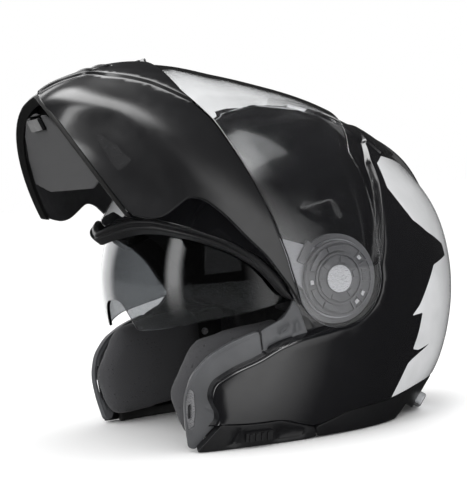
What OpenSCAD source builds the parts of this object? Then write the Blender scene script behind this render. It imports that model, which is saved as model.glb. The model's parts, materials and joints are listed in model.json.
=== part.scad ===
// Modular motorcycle helmet with a flip-up chin bar, a clear face shield and a drop-down sun visor.
// Millimetres. The front of the helmet looks along -Y, the wearer's left side is +X, +Z is up.
// The helmet stands on its lower rim on the plane z = 0. Its outer skin is a family of
// superellipses that share one axis, the hinge axis, so that everything that turns keeps its gap.

/* [Helmet] */
// Width over the black side panels
shell_w = 254; // [246:1:258]
// Radius of the crown about the hinge axis
crown_r = 132.5; // [130:0.5:133.5]
// Thickness of the moulded outer shell
shell_wall = 5; // [4:0.5:6]
// Height of the hinge axis above the rim
hinge_z = 113; // [112:0.5:114]
// Distance of the hinge axis behind the middle of the length
hinge_y = 15.56; // [10:0.02:20]

/* [Moving parts] */
// Angle by which the chin bar stands open
flip_angle = 67; // [60:1:68]
// Width over the face shield
shield_w = 256; // [254:0.5:258]
// Thickness of the face shield
shield_t = 2.2; // [1.8:0.1:2.6]
// Thickness of the chin bar's outer skin
chin_wall = 4; // [3:0.5:4.5]
// Thickness of the sun visor
visor_t = 2.2; // [1.8:0.1:2.6]
// Travel of the sun visor's slider
slider_travel = 22; // [16:1:24]
// Travel of the release button
button_travel = 4; // [2:0.5:4]

/* [Inside] */
// Half width of the head space between the liner's sides
head_half_w = 84; // [80:1:86]
// Half length of the head space
head_half_l = 106; // [100:1:108]
// Width of the chin strap's webbing
strap_w = 22; // [18:1:24]
// Thickness of the chin strap's webbing
strap_t = 2; // [1.6:0.2:2.4]

/* [Hidden] */

// Exponent of the skin's superellipse: 2 would be an ellipse
squareness = 2.1;
// Half width of the recessed zone that the chin bar and the shield sweep over
recess_half_w = 117.5;
// Half width of the shell's hollow
hollow_half_w = 112.5;
// Radius of the shield's round ends about the hinge
end_r = 35;
// Running gap between parts that slide past each other
gap = 0.4;
// How far a side-view outline is extruded to each side
reach = 150;

// Centre, half width, radius and exponent of the sun visor's own surface
visor_y = -12;
visor_z = -1;
visor_half_w = 104;
visor_r = 113;
visor_squareness = 2.3;

// Side-view radius of each skin about the hinge: [angle from the front upwards, radius]
shell_profile = [[-90, 190], [-64, 213], [-47, 227], [-30, 228], [-10, 196], [8, 152],
    [26, crown_r + 0.8], [45, crown_r + 0.8], [115, crown_r + 0.8], [127, crown_r + 2.2],
    [143, 138], [162, 146], [180, 150], [200, 154], [213, 157], [226, 158], [243, 169],
    [270, 190]];
recess_profile = [[-90, 182], [-64, 205], [-47, 219], [-30, 220], [-10, 189], [8, 151],
    [26, crown_r], [45, crown_r], [115, crown_r], [127, crown_r + 1.2], [143, 137],
    [162, 145], [180, 149], [200, 153], [213, 156], [226, 157], [243, 167], [270, 182]];
front_profile = [[-90, 190], [-64, 213], [-47, 227], [-30, 228], [-24.5, 224], [-18.5, 214],
    [-9.6, 198], [-2.5, 183], [8.5, 162], [23.5, 146], [45, crown_r + 4.5],
    [60, crown_r + 4.5], [200, crown_r + 4.5], [240, 165], [270, 190]];
scoop_profile = [[-90, 120], [100, 120], [112, crown_r - 2], [124, crown_r + 1.2],
    [131, 137.5], [143, 142.5], [152, 143.5], [160, 143], [170, 130], [270, 120]];
visor_profile = [[-90, visor_r], [270, visor_r]];

// Side-view outlines, [y from the hinge, z above the rim]
split_line = [[-91, 26], [-97, 38], [-95, 46], [-80, 54], [-62, 60], [-48, 67], [-31, 72],
    [-15, 74]];
chin_split = [[-97, 23], [-99.5, 35], [-101, 43], [-95, 51], [-79, 58], [-58, 64.2],
    [-39, 71.2], [-14, 75.8], [-3, 76.6]];
chin_top = [[3, 76.9], [-4, 77.7], [-12, 79.5], [-31, 83], [-57, 86], [-83, 88], [-114, 89],
    [-137, 90], [-164, 86], [-185, 91.5], [-230, 93]];
eyeport = [[-260, 168], [-121, 166], [-111, 165], [-92, 157], [-71, 146], [-55, 134],
    [-42, 118], [-33, 100], [-38, 93], [-55, 79], [-68, 76], [-83, 71], [-95, 63],
    [-103, 54], [-107, 40], [-104, 10], [-112, -5], [-112, -200], [-260, -200]];
frame_inner = [[-110, 3], [-113, 20], [-114, 39], [-109, 55], [-98, 67], [-83, 75],
    [-68, 80], [-59, 82]];
frame_inner_top = [[-59, 82], [-42, 89], [-36.5, 96], [-34, 101]];

function knot(k, i) = k[min(max(i, 0), len(k) - 1)];
function slope(k, i) = (knot(k, i + 1)[1] - knot(k, i - 1)[1])
    / (knot(k, i + 1)[0] - knot(k, i - 1)[0]);
function span_of(x, k, i = 0) = (i >= len(k) - 2 || x < k[i + 1][0]) ? i : span_of(x, k, i + 1);
// Smooth curve through the knots of a profile
function curve(x, k) =
    let(i = span_of(x, k), h = k[i + 1][0] - k[i][0], t = (x - k[i][0]) / h)
    (2 * t * t * t - 3 * t * t + 1) * k[i][1] + (t * t * t - 2 * t * t + t) * h * slope(k, i)
    + (3 * t * t - 2 * t * t * t) * k[i + 1][1] + (t * t * t - t * t) * h * slope(k, i + 1);
function power(b, e) = pow(max(b, 0), e);
// Half width of a skin at a point of the side view
function skin_x(y, z, half_w, profile, inset) =
    let(r = norm([y, z - hinge_z]), a = atan2(z - hinge_z, -y),
        phi = a < -90 ? a + 360 : a, big_r = curve(phi, profile) - inset)
    (half_w - inset) * power(1 - power(r / big_r, squareness), 1 / squareness);

// Everything is drawn about the hinge's middle plane and set down on the rim here
module set_down() {
    translate([0, hinge_y, 0]) children();
}

// Parts of the chin bar and the shield are drawn closed and stand open by the flip angle
module raised() {
    set_down() translate([0, 0, hinge_z]) rotate([-flip_angle, 0, 0])
        translate([0, 0, -hinge_z]) children();
}

module both_sides() {
    children();
    mirror([1, 0, 0]) children();
}

// Closed body of superellipse sections about an axis parallel to X
module skin_body(half_w, profile, inset = 0, n = squareness, steps = 48, rings = 18) {
    ring_points = [for (j = [1 : rings - 1]) for (i = [0 : steps - 1])
        let(s = -90 + 180 * j / rings, phi = -90 + 360 * i / steps,
            r = (curve(phi, profile) - inset) * power(cos(s), 2 / n))
        [(half_w - inset) * sign(s) * power(abs(sin(s)), 2 / n), -r * cos(phi), r * sin(phi)]];
    last = (rings - 2) * steps;
    poles = [[-(half_w - inset), 0, 0], [half_w - inset, 0, 0]];
    p0 = len(ring_points);
    polyhedron(points = concat(ring_points, poles), faces = concat(
        [for (i = [0 : steps - 1]) [p0, (i + 1) % steps, i]],
        [for (i = [0 : steps - 1]) [p0 + 1, last + i, last + (i + 1) % steps]],
        [for (j = [0 : rings - 3]) for (i = [0 : steps - 1])
            [j * steps + i, j * steps + (i + 1) % steps, (j + 1) * steps + (i + 1) % steps,
             (j + 1) * steps + i]]));
}

module at_hinge() {
    translate([0, 0, hinge_z]) children();
}

// Solid block whose side view is the given outline
module side_block(outline, x0 = -reach, x1 = reach) {
    translate([x0, 0, 0]) rotate([90, 0, 90]) linear_extrude(height = x1 - x0)
        polygon(outline);
}

// Disc or hole whose axis runs along X
module x_cylinder(y, z, r, x0, x1, sides = 48) {
    translate([x0, y, z]) rotate([0, 90, 0]) cylinder(h = x1 - x0, r = r, $fn = sides);
}

// Side-view zone that the chin bar and the shield sweep over
module sweep_zone(grow = 0) {
    arc_r = end_r + 2 + grow;
    front = [[-107, 0], [-91, 19]];
    rear_edge = [[42, 133], [47, 157], [52, 180], [53, 195], [60, 208], [70, 220], [82, 234]];
    side_block(concat([[-260, 290], [-260, -20 - grow], [-120, -20 - grow]],
        [for (p = concat(front, split_line)) p + grow * [0.5, -0.85]],
        [for (a = [-92 : 9 : 7]) [arc_r * cos(a), hinge_z + arc_r * sin(a)]],
        [for (p = rear_edge) p + [grow, 0]], [[90 + grow, 290]]));
}

// The helmet's skin with its recessed sweep zone, shrunk by an inset
module shell_form(inset) {
    difference() {
        at_hinge() skin_body(shell_w / 2, shell_profile, inset);
        difference() {
            sweep_zone(grow = inset);
            at_hinge() skin_body(recess_half_w, recess_profile, inset);
        }
    }
}

// Layer between two insets of the closed front skin, cut to a side-view outline
module front_layer(outer, inner, outline) {
    intersection() {
        difference() {
            at_hinge() skin_body(shield_w / 2, front_profile, outer);
            at_hinge() skin_body(shield_w / 2, front_profile, inner);
        }
        side_block(outline);
    }
}

// Layer between two insets of the recessed skin, cut to a side-view outline
module recess_layer(outer, inner, outline) {
    intersection() {
        difference() {
            at_hinge() skin_body(recess_half_w, recess_profile, outer);
            at_hinge() skin_body(recess_half_w, recess_profile, inner);
        }
        side_block(outline);
    }
}

// Layer between two insets of the proud skin, cut to a side-view outline
module shell_layer(outer, inner, outline) {
    intersection() {
        difference() {
            at_hinge() skin_body(shell_w / 2, shell_profile, outer);
            at_hinge() skin_body(shell_w / 2, shell_profile, inner);
        }
        side_block(outline);
    }
}

// Joins a carved skin into one mesh and leaves its size alone
module one_mesh() {
    resize([0, 0, 0]) children();
}

module left_half() {
    intersection() {
        children();
        translate([0.01, -300, -100]) cube([300, 600, 500]);
    }
}

// ---- Shell and what is fixed to it ----

trim_top = 19;
vent_half = 23;
vent_y = 5;

module outer_shell() {
    set_down() color("white") one_mesh() difference() {
        shell_form(0);
        shell_form(shell_wall);
        side_block(eyeport);
        side_block([[-130, -200], [-130, 2], [-91, trim_top], [-46, 17], [-20, 8.4],
            [9, 16.5], [48, trim_top], [80, 24], [190, 26], [190, -200]]);
        translate([-vent_half, vent_y - vent_half, 200]) cube([2 * vent_half, 2 * vent_half, 60]);
        both_sides() x_cylinder(0, hinge_z, end_r - 3.1, seat_x, reach, 44);
    }
}

module head_space(grow = 0) {
    translate([0, 14, 108]) scale([head_half_w + grow, head_half_l + grow, 100 + grow])
        sphere(r = 1, $fn = 40);
    translate([0, 8, -10]) scale([head_half_w - 3 + grow, head_half_l - 6 + grow, 1])
        cylinder(r = 1, h = 118, $fn = 40);
}

// The part of the liner that the sun visor needs for its travel
module visor_slot() {
    difference() {
        side_block([[-150, 60], [-150, 250], [30, 250], [12, 190], [6, 130], [4, 96],
            [-30, 86], [-60, 70]]);
        at_visor() skin_body(visor_half_w, visor_profile, 6, visor_squareness);
    }
}

module at_visor() {
    at_hinge() translate([0, visor_y, visor_z]) children();
}

module impact_liner() {
    wall = shell_wall + 0.4;
    set_down() color("dimgray") one_mesh() difference() {
        shell_form(wall);
        head_space();
        visor_slot();
        side_block([[-200, 200], [-110, 178], [-84, 160], [-50, 140], [-32, 118], [-30, 92],
            [12, 80], [14, -20], [-200, -20]]);
        translate([-reach, -200, -200]) cube([2 * reach, 400, 232]);
    }
}

module liner_front_insert() {
    set_down() color("dimgray") one_mesh() difference() {
        intersection() {
            shell_form(shell_wall + 0.6);
            side_block([[-70, 196], [-30, 212], [6, 216], [20, 260], [-90, 260], [-104, 178]]);
            translate([-62, -200, 0]) cube([124, 400, 300]);
        }
        at_visor() skin_body(visor_half_w + 2.5, [[-90, visor_r + 2.5], [270, visor_r + 2.5]], 0,
            visor_squareness);
        translate([-vent_half - 2, vent_y - vent_half - 2, 200])
            cube([2 * vent_half + 4, 2 * vent_half + 4, 60]);
    }
}

module crown_pad() {
    set_down() color("black") one_mesh() intersection() {
        difference() {
            translate([0, 14, 108]) scale([head_half_w - 0.6, head_half_l - 0.6, 99.4])
                sphere(r = 1, $fn = 36);
            translate([0, 14, 108]) scale([head_half_w - 9, head_half_l - 9, 91])
                sphere(r = 1, $fn = 36);
        }
        union() {
            translate([-32, -60, 150]) cube([64, 160, 80]);
            translate([-100, -12, 150]) cube([200, 56, 80]);
        }
    }
}

module cheek_pad_left() {
    set_down() color("#26282a") hull() for (p = [
        [76, -101, 41, 12.5], [78, -94, 23, 11], [80, -86, 63, 11.5], [84, -48, 24, 12],
        [86, -34, 60, 12], [87, -32, 36, 12]])
        translate([p[0], p[1], p[2]]) scale([1, 1.2, 1.2]) sphere(r = p[3], $fn = 20);
}

module cheek_pad_right() {
    mirror([1, 0, 0]) cheek_pad_left();
}

module neck_roll() {
    set_down() color("black") one_mesh()
        shell_layer(8, 24, [[16, 11], [60, 15], [160, 15], [160, 31], [16, 31]]);
}

module brow_gasket() {
    set_down() color("black") one_mesh() recess_layer(-2.6, 6, [[-160, 160], [-121, 158],
        [-111, 157], [-93, 150], [-74, 140], [-60, 129], [-48, 114], [-40, 104], [-33.6, 100.2],
        [-42.3, 117.6], [-55.3, 133.6], [-71.3, 145.6], [-92.2, 156.6], [-111.1, 164.6],
        [-121, 165.6], [-160, 166.8]]);
}

module side_frame_upper_left() {
    set_down() color("#4a4d50") one_mesh() left_half() difference() {
        recess_layer(-2.2, -0.2, concat([[-59, 81.5]], frame_inner_top,
            [[-30, 96], [-28, 88], [-24, 75.5], [-31, 72.6], [-48, 67.6], [-57.3, 63.4]]));
        x_cylinder(0, hinge_z, end_r - 1, 60, reach);
    }
}

module side_frame_upper_right() {
    mirror([1, 0, 0]) side_frame_upper_left();
}

slot_z0 = 29;
slot_z1 = 41;

module side_frame_lower_left() {
    set_down() color("#5a5d60") one_mesh() left_half() difference() {
        recess_layer(-2.2, 3, concat([[-105, 1.2]], [for (p = frame_inner) if (p[0] < -60) p],
            [[-60, 82], [-58.3, 63], [-62, 60.6], [-80, 54.6], [-94.6, 46.6], [-96.6, 38],
             [-90.6, 26], [-90.4, 19.5], [-99, 10]]));
        translate([hook_x - 1.2, -118, slot_z0])
            cube([hook_w + 2.4, 14, slot_z1 - slot_z0]);
        shell_form(0);
    }
}

module side_frame_lower_right() {
    mirror([1, 0, 0]) side_frame_lower_left();
}

striker_y = -116.2;

module striker_plate_left() {
    set_down() color("silver") difference() {
        translate([hook_x - 1.9, striker_y, 26]) cube([hook_w + 3.7, 1.6, 22]);
        translate([hook_x - 0.6, striker_y - 1, slot_z0])
            cube([hook_w + 1.2, 4, slot_z1 - slot_z0]);
    }
}

module striker_plate_right() {
    mirror([1, 0, 0]) striker_plate_left();
}

module base_trim_front_left() {
    set_down() color("#202224") one_mesh() difference() {
        left_half() shell_layer(0, 7, [[-107, 0.4], [-17.3, 0.4], [-19.6, 8], [-46, 16.7],
            [-91, trim_top - 0.3], [-92, 17]]);
        at_slider() translate([-12, 8, 2]) cube([20, 4 + slider_travel, 3]);
    }
}

module base_trim_front_right() {
    mirror([1, 0, 0]) base_trim_front_left();
}

module base_trim_rear() {
    set_down() color("#202224") one_mesh() shell_layer(0, 7, [[-17, 0.4], [140, 0.4], [160, 25],
        [80, 23.7], [48, trim_top - 0.3], [9, 16.2], [-19.3, 8]]);
}

// Outline of the rim at the height of the base plane, from the left front round the back
function rim(inset) = [for (y = [-96 : 6 : 108])
    let(x = skin_x(y, 0, shell_w / 2, shell_profile, inset)) if (x > 12) [x, y]];
function mirrored(points) = [for (i = [len(points) - 1 : -1 : 0]) [-points[i][0], points[i][1]]];

module base_edge_strip() {
    outer = rim(8);
    inner = rim(13.5);
    set_down() color("black") linear_extrude(height = 9) polygon(concat(outer,
        mirrored(outer), [for (i = [0 : len(inner) - 1]) [-inner[i][0], inner[i][1]]],
        [for (i = [len(inner) - 1 : -1 : 0]) inner[i]]));
}

module rear_diffuser() {
    set_down() color("#8a8d90") one_mesh() intersection() {
        shell_layer(-5, -0.1, [[84, 3], [150, 3], [150, 20], [96, 20], [84, 14]]);
        translate([-74, 0, 0]) cube([148, 200, 60]);
    }
}

module top_vent_housing() {
    tray_top = crown_r + hinge_z - 4.4;
    set_down() color("#1c1d1f") {
        difference() {
            translate([-vent_half + gap, vent_y - vent_half + gap, tray_top - 4])
                cube([2 * (vent_half - gap), 2 * (vent_half - gap), 4]);
            for (x = [-13, 0, 13])
                translate([x - 4, vent_y - 12, tray_top - 5]) cube([8, 12, 6]);
        }
    }
}

module top_vent_slider() {
    tray_top = crown_r + hinge_z - 4.4;
    set_down() color("#2a2c2e") {
        translate([-18, vent_y - 14, tray_top + 0.3]) cube([36, 18, 2.2]);
        translate([-10, vent_y - 8, tray_top + 2.5]) cube([20, 3, 1.2]);
    }
}

module rear_exhaust_cover() {
    set_down() color("#1c1d1f") one_mesh() intersection() {
        difference() {
            at_hinge() skin_body(shell_w / 2, scoop_profile);
            at_hinge() skin_body(shell_w / 2, shell_profile, -0.3);
        }
        translate([0, 0, 100]) linear_extrude(height = 200) polygon([[-20, 79], [20, 79],
            [44, 92], [46, 110], [24, 138], [-24, 138], [-46, 110], [-44, 92]]);
        side_block([[60, 300], [60, 218], [200, 150], [200, 300]]);
    }
}

// ---- Hinge, stacked outwards along X ----

seat_x = hollow_half_w + 2.7;
plate_x = 118.7;
plate_t = 1.5;
ratchet_x = plate_x + plate_t + 0.4;
ratchet_t = 2.4;
boss_r = 8;
boss_top = ratchet_x + ratchet_t + 0.2;

module hinge_base_left() {
    set_down() color("#3a3c3e") difference() {
        union() {
            x_cylinder(0, hinge_z, end_r - 3.3, seat_x, plate_x - 0.4, 64);
            x_cylinder(0, hinge_z, boss_r, seat_x, boss_top, 48);
        }
        x_cylinder(0, hinge_z, 3, seat_x - 1, reach, 32);
    }
}

module hinge_base_right() {
    mirror([1, 0, 0]) hinge_base_left();
}

module pivot_screw_left() {
    set_down() color("silver") difference() {
        union() {
            x_cylinder(0, hinge_z, 2.95, seat_x + 0.5, boss_top + 0.2, 32);
            x_cylinder(0, hinge_z, 9.6, boss_top, boss_top + 1.1, 48);
        }
        translate([boss_top + 0.6, -5, hinge_z - 0.8]) cube([2, 10, 1.6]);
    }
}

module pivot_screw_right() {
    mirror([1, 0, 0]) pivot_screw_left();
}

module hinge_plate_left() {
    raised() color("#6a6d70") difference() {
        translate([plate_x, 0, 0]) rotate([90, 0, 90]) linear_extrude(height = plate_t) union() {
            translate([0, hinge_z]) circle(r = 28, $fn = 64);
            polygon([[-27, hinge_z - 5], [-50, 82], [-56, 74], [-40, 72], [-6, hinge_z - 27.4]]);
        }
        x_cylinder(0, hinge_z, boss_r + 0.1, plate_x - 1, reach, 48);
    }
}

module hinge_plate_right() {
    mirror([1, 0, 0]) hinge_plate_left();
}

module shield_ratchet_left() {
    raised() color("#2c2e30") difference() {
        union() {
            x_cylinder(0, hinge_z, 27, ratchet_x, ratchet_x + ratchet_t - 0.8, 64);
            x_cylinder(0, hinge_z, 16, ratchet_x, ratchet_x + ratchet_t, 64);
            translate([0, 0, hinge_z]) for (a = [100, 220, 340]) rotate([a, 0, 0])
                translate([ratchet_x, -4, 19]) cube([ratchet_t, 8, 5]);
        }
        x_cylinder(0, hinge_z, boss_r + 0.1, ratchet_x - 1, reach, 48);
    }
}

module shield_ratchet_right() {
    mirror([1, 0, 0]) shield_ratchet_left();
}

// ---- Chin strap and buckle ----

// Webbing's middle line on the left side, [x, z], from the anchor down to the buckle
strap_y = -4;
strap_line = [[113.2, 69], [112.7, 54], [107, 38], [93, 27], [74, 21.5], [60, 20]];
anchor_z = 62;
buckle_x0 = 30;
buckle_x1 = 66;
strap_low = 20;

function offset_line(points, d) = [for (i = [0 : len(points) - 1])
    let(a = knot(points, i - 1), b = knot(points, i + 1), t = (b - a) / norm(b - a))
    points[i] + d * [-t[1], t[0]]];

module webbing(points) {
    difference() {
        translate([0, strap_y + strap_w / 2, 0]) rotate([90, 0, 0])
            linear_extrude(height = strap_w)
                polygon(concat(offset_line(points, strap_t / 2),
                    [for (i = [len(points) - 1 : -1 : 0]) offset_line(points, -strap_t / 2)[i]]));
        both_sides() x_cylinder(strap_y, anchor_z, 3.1, 108, 120, 24);
    }
}

module chin_strap_left() {
    set_down() color("#1a1a1c") webbing([for (i = [0 : 4]) strap_line[i]]);
}

module chin_strap_right() {
    far = [for (p = strap_line) [-p[0], p[1]]];
    set_down() color("#1a1a1c") webbing(concat(far, [[0, strap_low], [9.6, strap_low]]));
}

module strap_anchors() {
    set_down() color("silver") both_sides() {
        translate([114.4, strap_y - 10, 54]) cube([1.2, 20, 14]);
        x_cylinder(strap_y, anchor_z, 2.9, 111.6, 114.4, 24);
    }
}

module buckle_body() {
    set_down() color("#222426") difference() {
        translate([buckle_x0, strap_y - 15, strap_low - 4.5])
            cube([buckle_x1 + 7.6 - buckle_x0, 30, 9]);
        translate([buckle_x0 - 1, strap_y - 11.4, strap_low - 1.6]) cube([38, 22.8, 3.4]);
        translate([buckle_x0 + 6, strap_y - 8.4, strap_low - 5]) cube([26, 16.8, 4]);
    }
}

module buckle_lever() {
    pin_x = buckle_x0 + 28;
    set_down() color("firebrick") union() {
        translate([buckle_x0 + 7, strap_y - 8, strap_low - 6.5]) cube([22.8, 16, 1.8]);
        translate([pin_x, strap_y + 8, strap_low - 3.6]) rotate([90, 0, 0])
            cylinder(h = 16, r = 1.5, $fn = 32);
        translate([pin_x - 1.5, strap_y - 8, strap_low - 5]) cube([3, 16, 1.4]);
    }
}

module ratchet_tongue() {
    set_down() color("silver") {
        translate([9.8, strap_y - 10.5, strap_low - 1.1]) cube([46, 21, 2.2]);
    }
}

// ---- Sun visor ----

module sun_visor() {
    outline = [[-140, 83], [-122, 83], [-111, 84], [-91, 88.5], [-67, 92], [-52, 94.4],
        [-36, 98], [-22, 101], [-12, 102], [-3, 105.5], [-1.5, 112], [-4, 119], [-12, 122],
        [-24, 126], [-38, 140], [-56, 160], [-74, 184], [-90, 200], [-140, 200]];
    set_down() color("#303840") one_mesh() difference() {
        intersection() {
            difference() {
                at_visor() skin_body(visor_half_w, visor_profile, 0, visor_squareness);
                at_visor() skin_body(visor_half_w, visor_profile, visor_t, visor_squareness);
            }
            side_block(outline);
        }
        translate([0, -80, 0]) rotate([90, 0, 0]) linear_extrude(height = 80)
            polygon([[-31, 70], [-29, 83], [-17, 101], [-10, 104.5], [10, 104.5], [17, 101],
                [29, 83], [31, 70]]);
        both_sides() x_cylinder(visor_y, hinge_z + visor_z, 3.6, 80, reach, 32);
    }
}

module sun_visor_pins() {
    set_down() color("silver") both_sides()
        x_cylinder(visor_y, hinge_z + visor_z, 3.4, visor_half_w - 5, hollow_half_w - 1, 32);
}

// The sun visor's slider lies on the left base trim and runs along it
slider_x = 105.9;
slider_lean = 19;
slider_yaw = 5.2;

module at_slider() {
    translate([slider_x, -74, 5]) rotate([0, slider_lean, -slider_yaw]) children();
}

module sun_visor_slider() {
    set_down() color("#303234") at_slider() union() {
        cube([2.4, 20, 7]);
        translate([-4, 8.6, 2.4]) cube([4.2, 3, 2.2]);
        for (i = [0 : 3]) translate([2.2, 2.5 + 4.4 * i, 0.6]) cube([1.2, 1.8, 5.8]);
    }
}

// ---- Chin bar, drawn closed ----

chin_outline = concat([[-230, 3], [-108, 3], [-99, 14]], chin_split, chin_top);
hook_y = -123;
hook_z = 52;
hook_x = 91;
hook_w = 2.8;
chin_vent_z = 59;
// The liner ends above the pressed release button
liner_low = 8 + button_travel;

module chin_bar() {
    raised() color("#18191b") one_mesh() difference() {
        front_layer(0, chin_wall, chin_outline);
        translate([-24, -230, chin_vent_z - 8]) cube([48, 60, 16]);
        both_sides() side_block([[-62, 60], [-62, 92], [-18, 92], [-18, 60]], plate_x - 0.2,
            plate_x + plate_t + 0.2);
    }
}

module chin_edge_trim() {
    raised() color("black") one_mesh()
        front_layer(-0.4, chin_wall + 3, [[-230, 0.1], [-108, 0.1], [-106.6, 2.7], [-230, 2.7]]);
}

module chin_bar_liner() {
    raised() color("#2a2a2c") one_mesh() difference() {
        front_layer(chin_wall + 0.4, 20, [[-230, liner_low], [-135, liner_low], [-135, 78],
            [-230, 78]]);
        translate([-26, -230, chin_vent_z - 10]) cube([52, 60, 20]);
    }
}

module chin_vent_housing() {
    raised() color("#1c1d1f") one_mesh() difference() {
        intersection() {
            front_layer(-3.4, chin_wall + 4, [[-230, chin_vent_z - 7.6],
                [-230, chin_vent_z + 7.6], [-150, chin_vent_z + 7.6], [-150, chin_vent_z - 7.6]]);
            translate([-23.6, -230, 0]) cube([47.2, 80, 200]);
        }
        translate([-18, -230, chin_vent_z - 4]) cube([36, 80, 8]);
    }
}

module chin_vent_slider() {
    raised() color("#3a3c3e") one_mesh() {
        intersection() {
            front_layer(0.4, 2.6, [[-230, chin_vent_z - 3.6], [-230, chin_vent_z + 3.6],
                [-150, chin_vent_z + 3.6], [-150, chin_vent_z - 3.6]]);
            translate([-17.4, -230, 0]) cube([30, 80, 200]);
        }
    }
}

module chin_curtain() {
    raised() color("#1c1c1e") one_mesh() difference() {
        intersection() {
            at_hinge() skin_body(shield_w / 2, front_profile, chin_wall + 3.4);
            translate([-reach, -205, 3.4]) cube([2 * reach, 76, 2]);
            translate([0, -205, 0]) linear_extrude(height = 20)
                polygon([[-84, 0], [84, 0], [84, 66], [50, 76], [-50, 76], [-84, 66]]);
        }
        translate([-14, -189, 0]) cube([28, 11, 20]);
    }
}

module breath_deflector() {
    raised() color("#151517") one_mesh() intersection() {
        front_layer(17, 20, [[-230, 78.2], [-230, 106], [-120, 106], [-120, 78.2]]);
        translate([0, -230, 0]) rotate([-90, 0, 0]) linear_extrude(height = 120)
            polygon([[-58, -78.4], [-40, -96], [-14, -105], [14, -105], [40, -96], [58, -78.4]]);
    }
}

module release_button() {
    raised() color("#2c2e30") union() {
        translate([-13, -188, 0.6]) cube([26, 9, 2.4]);
        translate([-9, -186, 3]) cube([18, 4, 3]);
    }
}

module latch_hook_left() {
    raised() color("silver") union() {
        translate([hook_x, 0, 0]) rotate([90, 0, 90]) linear_extrude(height = hook_w)
            translate([hook_y, hook_z]) rotate(-25) translate([-hook_y, -hook_z])
                polygon([[-126, 56], [-120, 56], [-116, 38.4], [-111, 37.6], [-111, 33.4],
                    [-119, 32.6]]);
        x_cylinder(hook_y, hook_z, 2.2, hook_x - 2, hook_x + hook_w + 3, 32);
    }
}

module latch_hook_right() {
    mirror([1, 0, 0]) latch_hook_left();
}

// ---- Face shield, drawn closed ----

module face_shield() {
    lower = [for (p = chin_top) [p[0], p[1] + 1]];
    upper = [[-230, 216], [-97, 209.5], [-85, 196], [-70, 177], [-56, 174.5], [-35, 166.5],
        [-12, 156.5], [6, 148.5]];
    rear = [for (a = [83 : -10 : -87]) [end_r * cos(a), hinge_z + end_r * sin(a)]];
    raised() color("lightblue", 0.35) one_mesh() union() {
        front_layer(0, shield_t, concat([for (i = [1 : len(lower) - 1]) lower[i]], upper, rear));
        intersection() {
            front_layer(-4.5, shield_t - 0.8, [[-230, 92.5], [-230, 98], [-150, 98],
                [-150, 92.5]]);
            translate([-13, -230, 0]) cube([26, 80, 200]);
        }
    }
}

outer_shell();
impact_liner();
liner_front_insert();
crown_pad();
cheek_pad_left();
cheek_pad_right();
neck_roll();
brow_gasket();
side_frame_upper_left();
side_frame_upper_right();
side_frame_lower_left();
side_frame_lower_right();
striker_plate_left();
striker_plate_right();
base_trim_front_left();
base_trim_front_right();
base_trim_rear();
base_edge_strip();
rear_diffuser();
top_vent_housing();
top_vent_slider();
rear_exhaust_cover();
hinge_base_left();
hinge_base_right();
pivot_screw_left();
pivot_screw_right();
strap_anchors();
chin_strap_left();
chin_strap_right();
buckle_body();
buckle_lever();
ratchet_tongue();
sun_visor();
sun_visor_pins();
sun_visor_slider();
chin_bar();
chin_bar_liner();
chin_edge_trim();
chin_vent_housing();
chin_vent_slider();
chin_curtain();
breath_deflector();
release_button();
hinge_plate_left();
hinge_plate_right();
latch_hook_left();
latch_hook_right();
face_shield();
shield_ratchet_left();
shield_ratchet_right();
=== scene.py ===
import json
import math

import bmesh
import bpy
import numpy as np
from mathutils import Matrix, Vector
from mathutils.geometry import delaunay_2d_cdt


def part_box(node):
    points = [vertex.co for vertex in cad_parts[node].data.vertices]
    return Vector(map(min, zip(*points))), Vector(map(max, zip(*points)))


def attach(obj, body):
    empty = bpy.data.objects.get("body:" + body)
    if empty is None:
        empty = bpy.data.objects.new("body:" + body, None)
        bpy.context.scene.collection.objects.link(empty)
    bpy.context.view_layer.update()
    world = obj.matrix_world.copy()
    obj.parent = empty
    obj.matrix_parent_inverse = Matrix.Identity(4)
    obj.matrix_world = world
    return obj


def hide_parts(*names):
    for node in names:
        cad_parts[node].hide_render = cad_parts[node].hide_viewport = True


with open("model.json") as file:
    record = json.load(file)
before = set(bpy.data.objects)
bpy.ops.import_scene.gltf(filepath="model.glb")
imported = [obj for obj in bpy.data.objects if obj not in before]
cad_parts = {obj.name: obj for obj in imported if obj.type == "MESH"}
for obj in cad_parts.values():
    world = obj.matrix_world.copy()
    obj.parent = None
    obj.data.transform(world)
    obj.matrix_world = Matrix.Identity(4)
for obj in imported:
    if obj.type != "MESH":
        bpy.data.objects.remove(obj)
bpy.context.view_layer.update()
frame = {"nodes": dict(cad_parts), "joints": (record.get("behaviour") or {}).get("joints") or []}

# ---- The frame: where the hinge is and how far the chin bar stands open ----

MM = 0.001
FLIP_JOINT = next(j for j in frame["joints"] if j["name"] == "chin_flip")
HINGE_Y = FLIP_JOINT["pos_m"][1] / MM
HINGE_Z = FLIP_JOINT["pos_m"][2] / MM
FLIP = FLIP_JOINT["range_deg"][1]
SQUARE = 2.1

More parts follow.
